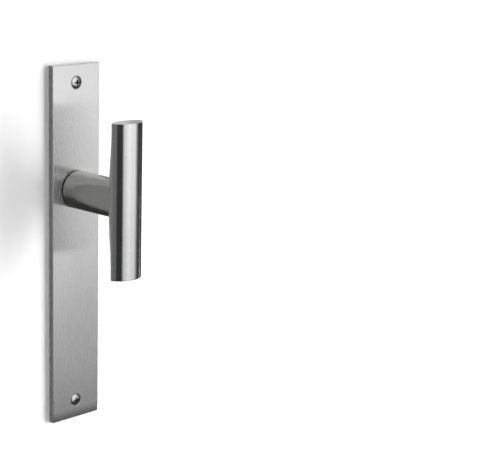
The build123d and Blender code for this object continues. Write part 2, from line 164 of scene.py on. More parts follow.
@dataclass(frozen=True)
class Finish:
    """A metal or plastic and how its surface was made.

    Attributes:
        name: Common name of the material and its making.
        light: sRGB colour of its lighter places.
        dark: sRGB colour of its darker places.
        roughness: Mean roughness.
        roughness_swing: How far the grain moves it each way.
        grain_width: Spacing of the scratches in mm.
        grain_length: Their length in mm.
        relief: Their depth in mm.
        blotch: Size of the slow change in tone, in mm.
        slot: Material slot of the record. Not used.
        anisotropy: How much the scratches stretch a highlight.
        grain: Their direction.
        metallic: 1 for metal, 0 for plastic.
        ior: Index of refraction, left out for metals.
        specular: Strength of the reflection, lower where grit traps the light.
    """

    name: str
    light: str
    dark: str
    roughness: float
    roughness_swing: float
    grain_width: float
    grain_length: float
    relief: float
    blotch: float
    slot: str
    anisotropy: float = 0.0
    grain: Grain = Grain.ALONG_X
    metallic: float = 1.0
    ior: float | None = None
    specular: float = 0.5

    def material(self) -> Material:
        """Material of this finish, built at its first use and shared by all later ones."""
        return bpy.data.materials.get(self.name) or self.make()

    def pattern(self, tree: NodeTree, across: float, along: float, detail: float) -> Node:
        """Noise drawn out along the grain, or into rings round the axis.

        Args:
            tree: Tree of the material.
            across: Size across the grain in mm.
            along: Size along the grain in mm.
            detail: Octaves of the noise.

        Returns:
            Node with values from 0 to 1.
        """
        ringed = self.grain is Grain.ROUND_Y
        main_share = max(self.grain.value)
        sizes = [along if (share == main_share) != ringed else across for share in self.grain.value]
        spot = add_node(tree, "ShaderNodeTexCoord").outputs["Object"]
        scale = Vector([1 / (size * MM) for size in sizes])
        drawn = add_node(tree, "ShaderNodeVectorMath", {0: spot, 1: scale}, operation="MULTIPLY")
        noise = {"Vector": drawn, "Scale": 1.0, "Detail": detail, "Roughness": 0.6}
        return add_node(tree, "ShaderNodeTexNoise", noise)

    def make(self) -> Material:
        """Build the material: tone, roughness, relief and stretched highlights from one grain.

        Returns:
            The material.
        """
        material, tree = new_material(self.name)
        scratches = self.pattern(tree, self.grain_width, self.grain_length, detail=3.0)
        slow = self.pattern(tree, self.blotch, self.blotch * 2, detail=2.0)
        tone = add_node(tree, "ShaderNodeMath", {0: scratches, 1: SCRATCH_SHARE}, operation="MULTIPLY")
        mixed = {0: slow, 1: 1 - SCRATCH_SHARE, 2: tone}
        blend = add_node(tree, "ShaderNodeMath", mixed, operation="MULTIPLY_ADD")
        noise_span = dict(zip(("From Min", "From Max"), NOISE_RANGE))
        spread = add_node(tree, "ShaderNodeMapRange", {"Value": blend, **noise_span})
        # A mix node takes its two colours at its inputs 6 and 7 and gives the blend at its output 2.
        shades = {0: spread, 6: linear(self.dark), 7: linear(self.light)}
        colour = add_node(tree, "ShaderNodeMix", shades, data_type="RGBA").outputs[2]
        roughness_span = {
            "To Min": self.roughness - self.roughness_swing,
            "To Max": self.roughness + self.roughness_swing,
        }
        roughness = add_node(tree, "ShaderNodeMapRange", {"Value": scratches, **noise_span, **roughness_span})
        relief = {"Height": scratches, "Strength": 1.0, "Distance": self.relief * MM}
        surface = {
            "Base Color": colour,
            "Metallic": self.metallic,
            "Roughness": roughness,
            "Normal": add_node(tree, "ShaderNodeBump", relief),
            "Anisotropic": self.anisotropy,
            "Specular IOR Level": self.specular,
        }
        if self.ior:
            surface["IOR"] = self.ior
        if self.anisotropy:
            surface["Tangent"] = self.tangent(tree)
        shader = add_node(tree, "ShaderNodeBsdfPrincipled", surface)
        add_node(tree, "ShaderNodeOutputMaterial", {"Surface": shader})
        return material

    def tangent(self, tree: NodeTree) -> Node:
        """Direction on the surface square to the scratches, which turns with the piece.

        Args:
            tree: Tree of the material.

        Returns:
            Node with the direction.
        """
        axis = add_node(tree, "ShaderNodeCombineXYZ", dict(zip("XYZ", self.grain.value)))
        spaces = {"vector_type": "VECTOR", "convert_from": "OBJECT", "convert_to": "WORLD"}
        turned_axis = add_node(tree, "ShaderNodeVectorTransform", {"Vector": axis}, **spaces)
        if self.grain is Grain.ROUND_Y:
            return turned_axis
        normal = add_node(tree, "ShaderNodeNewGeometry").outputs["Normal"]
        both = {0: normal, 1: turned_axis}
        square = add_node(tree, "ShaderNodeVectorMath", both, operation="CROSS_PRODUCT")
        return add_node(tree, "ShaderNodeVectorMath", {0: square}, operation="NORMALIZE")


# Stainless steel, ground with a belt: even grey, with highlights smeared across the scratches.
# The real scratches are about 0.05 mm apart, which no pixel shows, so they are drawn 0.5 mm apart.
PLATE_STEEL = Finish(
    "stainless_steel_belt_ground", "#E2E2E2", "#CACACA", 0.28, 0.03,
    0.5, 10.0, 0.003, 40.0, "satin_stainless", 1.0, Grain.ALONG_Z,
)
# Stainless steel, ground between wheels: scratches run round the bar, so its bands stay crisp.
# They are as fine as the plate's and are drawn 0.55 mm apart, so that they show.
GRIP_STEEL = Finish(
    "stainless_steel_wheel_ground", "#D4D4D4", "#C2C2C2", 0.2, 0.02,
    0.55, 12.0, 0.0005, 30.0, "satin_stainless", 0.85,
)
# Stainless steel, turned and ground in the lathe: rings too fine to count and bands along the neck.
# The rings are drawn 0.6 mm apart, coarser than the real ones, so that they show.
NECK_STEEL = Finish(
    "stainless_steel_ground_in_the_lathe", "#C9C8C7", "#C1C0BF", 0.21, 0.015,
    0.6, 14.0, 0.0001, 14.0, "satin_stainless", 0.45, Grain.ROUND_Y,
)
# Stainless steel, tumbled and polished: clear reflections with a trace of wear.
SCREW_STEEL = Finish(
    "stainless_steel_polished", "#BEBEBE", "#B0B0B0", 0.2, 0.03,
    0.6, 0.8, 0.001, 3.0, "polished_stainless",
)
# Stainless steel, cold formed by the punch and out of reach of the polish: dull. Its dark grey colour is
# painted shade inside the cross recess.
RECESS_PAINTED_SHADE = Finish(
    "stainless_steel_unpolished_with_painted_shade", "#5C5C5C", "#484848", 0.42, 0.05,
    0.5, 0.6, 0.002, 2.0, "polished_stainless",
)
# Polyamide, injection moulded and black: dull sheen of the spark-eroded mould. Its grit of 0.1 mm
# is drawn 0.4 mm wide, so that it shows.
BLACK_NYLON = Finish(
    "polyamide_moulded_black", "#141415", "#0D0D0E", 0.48, 0.06,
    0.4, 0.4, 0.004, 6.0, "black_nylon", metallic=0.0, ior=1.53, specular=0.15,
)
# Free-cutting steel, turned and oiled: darker than stainless, with fine rings from the tool.
TURNED_STEEL = Finish(
    "mild_steel_turned", "#A9A7A2", "#9A9893", 0.32, 0.05,
    0.4, 5.0, 0.003, 8.0, "plain_steel", 0.3,
)
# Mild steel, zinc plated and clear passivated: bluish bright grey with a soft bloom.
ZINC_PLATED = Finish(
    "mild_steel_zinc_plated", "#C6CBD0", "#B4BAC1", 0.3, 0.07,
    0.7, 0.9, 0.003, 7.0, "plated_steel",
)
# Steel wire, cold headed and zinc plated: the same plating with a tighter, brighter shine.
SCREW_ZINC = Finish(
    "cold_headed_steel_zinc_plated", "#B9BDC0", "#A3A8AC", 0.22, 0.05,
    0.5, 0.7, 0.002, 3.0, "plated_steel",
)
# Alloy steel, black oxide: nearly black with a faint oily sheen.
BLACK_OXIDE = Finish(
    "alloy_steel_black_oxide", "#3A3A3C", "#2B2B2D", 0.38, 0.05,
    0.5, 0.5, 0.003, 4.0, "black_steel",
)
# Zinc alloy, die cast and left as cast: matt warm grey with flow marks.
DIE_CAST = Finish(
    "zinc_alloy_die_cast", "#9FA0A1", "#8B8C8E", 0.46, 0.07,
    0.9, 2.5, 0.012, 9.0, "die_cast_zinc", grain=Grain.ALONG_Z,
)
# Spring steel, hardened and oil tempered: dark blue-grey with a smooth drawn skin.
SPRING_STEEL = Finish(
    "spring_steel_oil_tempered", "#5B5D61", "#484A4E", 0.3, 0.05,
    0.5, 1.5, 0.002, 4.0, "spring_steel",
)


# Small tools for meshes


def arc(centre: Flat, radius: float, start: float, end: float, count: int) -> list[Flat]:
    """Points along an arc.

    Args:
        centre: Centre of the arc.
        radius: Its radius.
        start: First angle in degrees.
        end: Last angle in degrees.
        count: Number of points, both ends among them.

    Returns:
        The points in order.
    """
    angles = [radians(start + (end - start) * i / (count - 1)) for i in range(count)]
    return [(centre[0] + radius * cos(a), centre[1] + radius * sin(a)) for a in angles]


def circle(radius: float, centre: Flat = (0.0, 0.0), count: int = 96) -> list[Flat]:
    """Points round a circle, the first not repeated."""
    return arc(centre, radius, 0, 360, count + 1)[:-1]


def rectangle(width: float, height: float, centre: Flat = (0.0, 0.0)) -> list[Flat]:
    """Corners of an upright rectangle."""
    corners = ((-1, -1), (1, -1), (1, 1), (-1, 1))
    return [(centre[0] + width / 2 * x, centre[1] + height / 2 * z) for x, z in corners]


def quarter_round(radius: float, rows: int) -> list[Flat]:
    """Distances of each row round an edge: one from the flank, that grows, and one from the face."""
    turns = [pi / 2 * i / rows for i in range(rows + 1)]
    return [(radius * (1 - cos(turn)), radius * (1 - sin(turn))) for turn in turns]


def obround(width: float, height: float, count: int = 64) -> list[Flat]:
    """Outline of a tall slot with round ends."""
    rise = (height - width) / 2
    return arc((0, rise), width / 2, 0, 180, count) + arc((0, -rise), width / 2, 180, 360, count)


def add_object(name: str, data: ID) -> Object:
    """Put a new object with a mesh, a light or a camera in the scene.

    Args:
        name: Name of the object.
        data: What it shows.

    Returns:
        The new object.
    """
    made = bpy.data.objects.new(name, data)
    bpy.context.scene.collection.objects.link(made)
    return made


def skin(name: str, rings: Sequence[Sequence[Point]], looped: bool = False) -> Object:
    """Stretch a smooth-shaded skin over rings of points. A ring of one point is a pole.

    Args:
        name: Name of the piece.
        rings: Rings in order in mm, with the same number of points or one point each.
        looped: Join the last ring to the first, rather than closing both ends.

    Returns:
        The new object.
    """
    shape = bmesh.new()
    rows = [[shape.verts.new(point) for point in ring] for ring in rings]
    pairs = list(zip(rows, rows[1:])) + ([(rows[-1], rows[0])] if looped else [])
    for pair in pairs:
        count = max(len(row) for row in pair)
        for i in range(count):
            near, far = ((row[i % len(row)], row[(i + 1) % count % len(row)]) for row in pair)
            corners = dict.fromkeys((*near, *reversed(far)))
            shape.faces.new(tuple(corners))
    if not looped:
        for row in (rows[0], rows[-1]):
            if len(row) > 1:
                shape.faces.new(row)
    bmesh.ops.scale(shape, vec=(MM, MM, MM), verts=shape.verts)
    bmesh.ops.recalc_face_normals(shape, faces=shape.faces)
    mesh = bpy.data.meshes.new(name)
    shape.to_mesh(mesh)
    shape.free()
    mesh.shade_smooth()
    return add_object(name, mesh)


def turned(profile: Sequence[Flat], centre: Flat = (0.0, 0.0), count: int = 128) -> list[list[Point]]:
    """Rings round an axis that runs into the door, or a pole where the radius is zero.

    Args:
        profile: Radius and depth of each ring.
        centre: Where the axis stands on the plate, as X and Z.
        count: Points of a ring.

    Returns:
        The rings in order.
    """
    rings = []
    for radius, depth in profile:
        around = circle(radius, centre, count) if radius else [centre]
        rings.append([(x, depth, z) for x, z in around])
    return rings


def slab(name: str, outline: Sequence[Flat], front: float, back: float) -> Object:
    """Prism with a flat outline, from one depth to another."""
    return skin(name, [[(x, depth, z) for x, z in outline] for depth in (front, back)])


def settle(piece: Object) -> None:
    """Apply a piece's modifiers to its mesh.

    Args:
        piece: The piece.
    """
    graph = bpy.context.evaluated_depsgraph_get()
    graph.update()
    finished = bpy.data.meshes.new_from_object(piece.evaluated_get(graph))
    piece.modifiers.clear()
    piece.data = finished


def cut(piece: Object, cutters: Sequence[Object]) -> None:
    """Take the cutters out of a piece and delete them.

    Args:
        piece: The piece.
        cutters: Shapes to take out.
    """
    for cutter in cutters:
        step = piece.modifiers.new("cut", "BOOLEAN")
        step.operation = "DIFFERENCE"
        step.solver = "EXACT"
        step.object = cutter
    settle(piece)
    for cutter in cutters:
        bpy.data.objects.remove(cutter)


def keep_flats(piece: Object) -> None:
    """Shade a piece's flat faces flat, next to its rounded edges.

    Args:
        piece: The piece.
    """
    flats = piece.modifiers.new("flat faces", "WEIGHTED_NORMAL")
    flats.keep_sharp = True
    settle(piece)


def soften(piece: Object, width: float, segments: int = 3, angle: float = 28.0) -> None:
    """Break a piece's sharp edges and keep its flats flat.

    Args:
        piece: The piece.
        width: Width of the break in mm.
        segments: Faces across the break.
        angle: Edges sharper than this many degrees are broken.
    """
    step = piece.modifiers.new("edge break", "BEVEL")
    step.width = width * MM
    step.segments = segments
    step.limit_method = "ANGLE"
    step.angle_limit = radians(angle)
    keep_flats(piece)
    piece.data.shade_smooth()


def dress(piece: Object, finish: Finish) -> None:
    """Give a piece the one material of its finish."""
    piece.data.materials.clear()
    piece.data.materials.append(finish.material())


# Sub-assemblies


class Piece:
    """What the pieces in view share: the body that carries them, their finish and their node."""

    body = Body.PLATE
    finish: Finish
    node: str

    def dress(self, piece: Object) -> None:
        """Finish the built piece and its node, and let it ride on its body and stand for the node.

        Args:
            piece: The piece.
        """
        for thing in (piece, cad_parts[self.node]):
            dress(thing, self.finish)
        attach(piece, self.body.value)
        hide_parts(self.node)
        logger.info("%s: %d faces, stands for %s", piece.name, len(piece.data.polygons), self.node)


@dataclass
class Hardware:
    """Nodes whose solids are shown as they are, by their finish."""

    finishes: tuple[tuple[Finish, tuple[str, ...]], ...] = (
        (BLACK_NYLON, ("rear_bush",)),
        (TURNED_STEEL, ("bar_stud", "driver_cam")),
        (ZINC_PLATED, ("spindle", "thrust_washer")),
        (BLACK_OXIDE, ("spindle_set_screw",)),
        (DIE_CAST, ("spring_housing",)),
        (SPRING_STEEL, ("torsion_spring", "curved_spring_washer", "retaining_ring")),
    )

    def dress(self) -> None:
        """Give each of these nodes its finish."""
        for finish, nodes in self.finishes:
            for node in nodes:
                dress(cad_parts[node], finish)
                logger.info("%s: %s", node, finish.name)


@dataclass
class Backplate(Piece):
    """Long blind plate, screwed to the door, with a bore for the handle's bush."""

    finish = PLATE_STEEL
    node = "backplate"
    width: float = 40.0
    height: float = 240.0
    thickness: float = 4.0
    above_axis: float = 82.5
    edge_break: float = 0.15
    corner_radius: float = 0.8
    least_corner_radius: float = 0.05
    corner_points: int = 7
    front_rounding: float = 0.8
    rounding_rows: int = 6
    roll_length: float = 7.0
    roll_drop: float = 0.17
    roll_rows: int = 8
    bore_radius: float = 10.52
    screw_heights: tuple[float, float] = (70.25, -145.25)
    screw_hole_radius: float = 2.3
    screw_seat_radius: float = 4.5
    recess_width: float = 35.2
    recess_height: float = 54.2
    recess_depth: float = 1.0

    def build(self) -> Object:
        """Skin the plate, cut its holes and break its edges.

        Returns:
            The plate.
        """
        rings = [self.outline(0.0, 0.0)]
        for inset, drop in quarter_round(self.front_rounding, self.rounding_rows):
            rings.append(self.outline(inset, drop - self.thickness))
        plate = skin("door_plate", rings)
        self.roll_foot(plate)
        front = -self.thickness - OVERCUT
        cutters = [
            slab("bore", circle(self.bore_radius), front, OVERCUT),
            slab("recess", obround(self.recess_width, self.recess_height), -self.recess_depth, OVERCUT),
        ]
        seat_depth = self.screw_seat_radius - self.screw_hole_radius
        for height in self.screw_heights:
            profile = [
                (0, front), (self.screw_seat_radius + OVERCUT, front),
                (self.screw_hole_radius, -self.thickness + seat_depth),
                (self.screw_hole_radius, OVERCUT), (0, OVERCUT),
            ]
            cutters.append(skin("countersink", turned(profile, (0, height))))
        cut(plate, cutters)
        soften(plate, self.edge_break)
        return plate

    def roll_foot(self, plate: Object) -> None:
        """Let the front fall off a little towards the foot, as the grinding belt leaves it.

        Args:
            plate: The plate, before its holes are cut.
        """
        shape = bmesh.new()
        shape.from_mesh(plate.data)
        foot = self.above_axis - self.height
        for row in range(1, self.roll_rows + 1):
            height = foot + self.roll_length * row / self.roll_rows
            everything = [*shape.verts, *shape.edges, *shape.faces]
            bmesh.ops.bisect_plane(shape, geom=everything, plane_co=(0, 0, height * MM), plane_no=(0, 0, 1))
        for vert in shape.verts:
            above_foot = vert.co.z / MM - foot
            share_of_front = -vert.co.y / MM / self.thickness
            if above_foot < self.roll_length:
                vert.co.y += self.roll_drop * MM * share_of_front * (1 - above_foot / self.roll_length) ** 2
        shape.to_mesh(plate.data)
        shape.free()

    def outline(self, inset: float, depth: float) -> list[Point]:
        """Ring round the plate with rounded corners.

        Args:
            inset: How far it is drawn in.
            depth: Where it lies.

        Returns:
            Points of the ring.
        """
        middle = self.above_axis - self.height / 2
        across = self.width / 2 - self.corner_radius
        up = self.height / 2 - self.corner_radius
        radius = max(self.corner_radius - inset, self.least_corner_radius)
        ring = []
        for start, (side, end) in zip((0, 90, 180, 270), ((1, 1), (-1, 1), (-1, -1), (1, -1))):
            centre = (side * across, middle + end * up)
            ring += arc(centre, radius, start, start + 90, self.corner_points)
        return [(x, depth, z) for x, z in ring]


@dataclass
class PlateScrew(Piece):
    """Raised countersunk wood screw with a cross recess and a rolled thread."""

    finish = SCREW_STEEL
    node: str
    height: float
    head_radius: float = 4.25
    head_rise: float = 1.15
    head_edge: float = 0.15
    crown_flatness: float = 2.2
    rim_roundness: float = 1.5
    rim_depth: float = -3.75
    shank_radius: float = 2.1
    thread_radius: float = 1.9
    root_radius: float = 1.3
    thread_start: float = 7.0
    tip_start: float = 22.25
    tip_bluntness: float = 0.7
    point: float = 26.25
    pitch: float = 1.8
    ridge_half: float = 0.3
    recess_depth: float = 2.0
    recess_half_width: float = 2.05
    recess_half_slot: float = 0.5
    recess_overcut: float = 0.6
    recess_flare: Flat = (0.5, 0.08)
    recess_taper: Flat = (3.0, 0.7)
    recess_margin: Flat = (0.1, 0.06)
    edge_break: float = 0.07
    crown_steps: int = 24
    rows_per_turn: int = 12
    around: int = 64

    def crown_depth(self, across: float) -> float:
        """Depth of the crown at a distance from the axis: nearly flat, then round towards the rim."""
        share = min(1.0, across / self.head_radius)
        return self.rim_depth - self.head_rise * (1 - share**self.crown_flatness) ** (1 / self.rim_roundness)

    def head_profile(self) -> list[Flat]:
        """Outline of the crown, the cone and the plain shank.

        Returns:
            Radius and depth of each point, from the top of the crown.
        """
        turns = [pi / 2 * i / self.crown_steps for i in range(self.crown_steps + 1)]
        radii = [self.head_radius * sin(turn) for turn in turns]
        profile = [(radius, self.crown_depth(radius)) for radius in radii]
        cone_start = self.rim_depth + self.head_edge
        cone_end = cone_start + self.head_radius - self.shank_radius
        return profile + [(self.head_radius, cone_start), (self.shank_radius, cone_end)]

    def thread_rings(self) -> list[list[Point]]:
        """Rings of the threaded shank: a ridge that climbs once round for each pitch.

        Returns:
            The rings from the plain shank to just before the point.
        """
        length = self.point - self.thread_start
        rows = int(length / self.pitch * self.rows_per_turn)
        rings = []
        for row in range(rows):
            depth = self.thread_start + length * row / rows
            taper = min(1.0, (self.point - depth) / (self.point - self.tip_start))
            run_in = min(1.0, (depth - self.thread_start) / self.pitch)
            root = (self.shank_radius + (self.root_radius - self.shank_radius) * run_in) * taper
            crest = self.shank_radius + (self.thread_radius - self.shank_radius) * run_in
            crest *= taper**self.tip_bluntness
            ring = []
            for i in range(self.around):
                share = (depth / self.pitch - i / self.around) % 1.0
                ridge = max(0.0, 1 - abs(share - 0.5) / self.ridge_half)
                radius = root + (crest - root) * ridge
                turn = 2 * pi * i / self.around
                ring.append((radius * cos(turn), depth, self.height + radius * sin(turn)))
            rings.append(ring)
        return rings

    def build(self) -> Object:
        """Skin the whole screw, cut the recess into its crown and break its edges.

        Returns:
            The screw.
        """
        head = turned(self.head_profile(), (0, self.height), self.around)
        point = [(0, self.point, self.height)]
        screw = skin(self.node.replace("plate", "wood"), head + self.thread_rings() + [point])
        cut(screw, [self.recess_wing(upright) for upright in (False, True)])
        soften(screw, self.edge_break, segments=2, angle=40.0)
        return screw

    def recess_wing(self, upright: bool) -> Object:
        """Cutter for one tapered wing of the cross.

        Args:
            upright: The wing stands up, rather than lying across.

        Returns:
            The cutter.
        """
        top = self.rim_depth - self.head_rise
        flare, taper = self.recess_flare, self.recess_taper
        mouth = (self.recess_half_width + flare[0], self.recess_half_slot + flare[1])
        floor = (self.recess_half_width / taper[0], self.recess_half_slot * taper[1])
        rings = []
        for depth, halves in ((top - self.recess_overcut, mouth), (top + self.recess_depth, floor)):
            width, height = reversed(halves) if upright else halves
            outline = rectangle(2 * width, 2 * height, (0, self.height))
            rings.append([(x, depth, z) for x, z in outline])
        return skin("recess", rings)

    def dress(self, piece: Object) -> None:
        """Polish the screw, paint shade into its cross recess with dark steel, and put it on its body.

        Args:
            piece: The screw.
        """
        super().dress(piece)
        # The second material is dark steel: painted shade on the faces inside the cross recess.
        piece.data.materials.append(RECESS_PAINTED_SHADE.material())
        reach = self.recess_half_width + self.recess_margin[0]
        for face in piece.data.polygons:
            x, y, z = face.center / MM
            across = hypot(x, z - self.height)
            sunk = self.crown_depth(across) + self.recess_margin[1] < y < self.thread_start / 2
            if sunk and across < reach:
                face.material_index = 1


@dataclass
class Grip(Piece):
    """T grip: a lens-shaped bar whose back swells towards the neck."""

    body = Body.HANDLE
    finish = GRIP_STEEL
    node = "grip_bar"
    length: float = 101.4
    width: float = 25.0
    front_depth: float = 7.7
    end_back_depth: float = 5.5
    middle_back_depth: float = 10.5
    tip_radius: float = 2.0
    tip_depth: float = -52.3
    end_break: float = 0.3
    face_points: int = 49
    tip_points: int = 14
    body_rows: int = 72
    break_rows: int = 5

    @property
    def tip_across(self) -> float:
        """Distance of the tips' centres from the middle."""
        return self.width / 2 - self.tip_radius

    def back_depth(self, height: float) -> float:
        """Depth of the back behind the tips at a height."""
        share = (2 * height / self.length) ** 2
        return self.middle_back_depth + (self.end_back_depth - self.middle_back_depth) * share

    def lens_arc(self, depth: float) -> Flat:
        """Radius of one face of the lens, and how far its centre stands off the tips' line."""
        radius = (self.tip_across**2 + depth**2 - self.tip_radius**2) / (2 * (depth - self.tip_radius))
        return radius, depth - radius

    def lens_side(self, depth: float, inset: float) -> list[Flat]:
        """Points on one face of the lens, from the right joint with the tip to the left one.

        Args:
            depth: How far the face stands off the line between the tips.
            inset: How far the whole section is drawn in, for the broken ends.

        Returns:
            Points as distance across and distance off the tips' line.
        """
        radius, centre = self.lens_arc(depth)
        edge = degrees(atan2(-centre, self.tip_across))
        return arc((0, centre), radius - inset, edge, 180 - edge, self.face_points)

    def section(self, height: float, inset: float) -> list[Point]:
        """Closed ring of the bar's section.

        Args:
            height: Where the section is taken.
            inset: How far it is drawn in.

        Returns:
            Points of the ring.
        """
        front = self.lens_side(self.front_depth, inset)
        back = self.lens_side(self.back_depth(height), inset)
        front_angle, back_angle = (
            degrees(atan2(side[0][1], side[0][0] - self.tip_across)) for side in (front, back)
        )
        tip = arc((self.tip_across, 0), self.tip_radius - inset, back_angle, -front_angle, self.tip_points)
        right = tip[1:-1]
        ring = back + [(-x, y) for x, y in right] + [(x, -y) for x, y in reversed(front)] + right[::-1]
        return [(x, self.tip_depth + y, height) for x, y in ring]

    def build(self) -> Object:
        """Skin the bar over its sections, with softly broken ends.

        Returns:
            The bar.
        """
        half = self.length / 2
        edge = [(half - drop, inset) for drop, inset in quarter_round(self.end_break, self.break_rows)]
        middle, rows = half - self.end_break, self.body_rows
        straight = [(middle * (2 * i / rows - 1), 0.0) for i in range(1, rows)]
        stations = [(-height, inset) for height, inset in edge] + straight + list(reversed(edge))
        bar = skin("grip", [self.section(height, inset) for height, inset in stations])
        # The two end faces alone have more than four corners, and they get a crisp rim.
        rim = {key for face in bar.data.polygons if face.loop_total > 4 for key in face.edge_keys}
        for bar_edge in bar.data.edges:
            bar_edge.use_edge_sharp = bar_edge.key in rim
        keep_flats(bar)
        return bar


@dataclass
class Neck(Piece):
    """Round neck, coped to the grip. Each step behind it has its radius and the depth of its end."""

    body = Body.HANDLE
    finish = NECK_STEEL
    node = "neck"
    grip: Grip
    radius: float = 12.5
    foot: float = -5.05
    edge_break: float = 0.42
    straight_from: float = -36.0
    front_journal: Flat = (9.0, 0.7)
    seat: Flat = (8.5, 7.69)
    rear_journal: Flat = (7.5, 11.24)
    groove: Flat = (7.15, 12.34)
    collar: Flat = (7.5, 13.84)
    socket_width: float = 8.1
    socket_front: float = -28.5
    set_screw_depth: float = -15.0
    set_screw_radius: float = 2.53
    set_screw_top: float = -3.0
    sink: float = 0.2
    cope_rows: int = 16
    around: int = 192
    sharp_from: float = 35.0

    def cope_depth(self, across: float, height: float) -> float:
        """Depth of the grip's back where the neck meets it.

        Args:
            across: Distance from the axis, to the right.
            height: Distance from the axis, up.

        Returns:
            The depth.
        """
        tip = self.grip.tip_radius
        radius, centre = self.grip.lens_arc(self.grip.back_depth(height))
        joint = self.grip.tip_across * radius / (radius - tip)
        if abs(across) <= joint:
            rise = centre + sqrt(radius**2 - across**2)
        else:
            rise = sqrt(max(0.0, tip**2 - (abs(across) - self.grip.tip_across) ** 2))
        return self.grip.tip_depth + rise

    def build(self) -> Object:
        """Skin the neck from its cope to the end of the journal, then cut its two holes.

        Returns:
            The neck.
        """
        coped = circle(self.radius, count=self.around)
        starts = [self.cope_depth(x, z) - self.sink for x, z in coped]
        rings = []
        for row in range(self.cope_rows + 1):
            share = row / self.cope_rows
            depths = [start + (self.straight_from - start) * share for start in starts]
            rings.append([(x, depth, z) for (x, z), depth in zip(coped, depths)])
        corner = (self.radius - self.edge_break, self.foot - self.edge_break)
        profile = arc(corner, self.edge_break, 0, 90, count=6)
        start = self.foot
        for radius, end in (self.front_journal, self.seat, self.rear_journal, self.groove, self.collar):
            profile += [(radius, start), (radius, end)]
            start = end
        radius, end = profile.pop()
        profile += [(radius, end - self.edge_break), (radius - self.edge_break, end)]
        neck = skin("neck_tube", rings + turned(profile, count=self.around))
        square = rectangle(self.socket_width, self.socket_width)
        cut(neck, [slab("socket", square, self.socket_front, end + OVERCUT), self.set_screw_hole()])
        neck.data.set_sharp_from_angle(angle=radians(self.sharp_from))
        return neck

    def set_screw_hole(self) -> Object:
        """Cutter for the hole in the underside of the neck."""
        rim = circle(self.set_screw_radius, (0, self.set_screw_depth), count=48)
        return skin("hole", [[(*p, z) for p in rim] for z in (-self.radius - OVERCUT, self.set_screw_top)])


@dataclass
class FrontBush(Piece):
    """Black bush between the neck and the plate."""

    finish = BLACK_NYLON
    node = "front_bush"
    flange_radius: float = 12.45
    flange_front: float = -5.0
    plate_front: float = -4.0
    sleeve_radius: float = 10.5
    bore_radius: float = 9.05
    back: float = 0.5
    edge: float = 0.2
    sharp_from: float = 40.0

    def build(self) -> Object:
        """Turn the bush with a rounded flange edge.

        Returns:
            The bush.
        """
        rim = self.flange_radius - self.edge
        profile = arc((rim, self.flange_front + self.edge), self.edge, -90, 0, count=5)
        profile += [
            (self.flange_radius, self.plate_front), (self.sleeve_radius, self.plate_front),
            (self.sleeve_radius, self.back), (self.bore_radius, self.back),
            (self.bore_radius, self.flange_front),
        ]
        bush = skin("neck_bush", turned(profile), looped=True)
        bush.data.set_sharp_from_angle(angle=radians(self.sharp_from))
        return bush


@dataclass
class HousingCover(Piece):
    """Flat steel cover of the spring housing, on the plate's back."""

    finish = ZINC_PLATED
    node = "housing_cover"
    width: float = 35.0
    height: float = 54.0
    front: float = 7.7408
    back: float = 8.9408
    bore_radius: float = 9.02
    screw_hole_radius: float = 1.6
    screws_across: float = 17.7409
    screws_up: float = 40.1428
    edge_break: float = 0.25

    def build(self) -> Object:
        """Cut the cover from a slab and break its edges, as its punch leaves them.

        Returns:
            The cover.
        """
        cover = slab("cover_plate", obround(self.width, self.height), self.front, self.back)
        holes = [circle(self.bore_radius)]
        for side, end in ((-1, -1), (-1, 1), (1, -1), (1, 1)):
            centre = (side * self.screws_across / 2, end * self.screws_up / 2)
            holes.append(circle(self.screw_hole_radius, centre, count=40))
        cut(cover, [slab("hole", hole, self.front - OVERCUT, self.back + OVERCUT) for hole in holes])
        soften(cover, self.edge_break)
        return cover


@dataclass
class PanScrew(Piece):
    """Slotted pan head machine screw of the spring housing."""

    finish = SCREW_ZINC
    node: str
    seat: float = 8.9408
    head_radius: float = 2.8
    head_height: float = 1.9
    head_rounding: float = 1.5
    crown_radius: float = 1.3
    slot_width: float = 0.8
    slot_depth: float = 0.95
    shank_radius: float = 1.5
    shank_end: float = -3.0592
    point: float = 0.4
    edge_break: float = 0.06

    def build(self) -> Object:
        """Turn the head and shank, cut the slot and break the edges.

        Returns:
            The screw, where its node is.
        """
        low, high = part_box(self.node)
        centre = ((low[0] + high[0]) / 2 / MM, (low[2] + high[2]) / 2 / MM)
        top = self.seat + self.head_height
        rounding = self.head_rounding
        corner = arc((self.crown_radius, top - rounding), rounding, 90, 0, count=8)
        profile = [(0.0, top)] + corner + [
            (self.head_radius, self.seat), (self.shank_radius, self.seat),
            (self.shank_radius, self.shank_end + self.point),
            (self.shank_radius - self.point, self.shank_end), (0.0, self.shank_end),
        ]
        screw = skin(f"cover_{self.node}", turned(profile, centre, count=48))
        slot = rectangle(2 * self.head_radius + OVERCUT, self.slot_width, centre)
        cut(screw, [slab("slot", slot, top - self.slot_depth, top + OVERCUT)])
        soften(screw, self.edge_break, segments=2, angle=40.0)
        return screw


# Studio


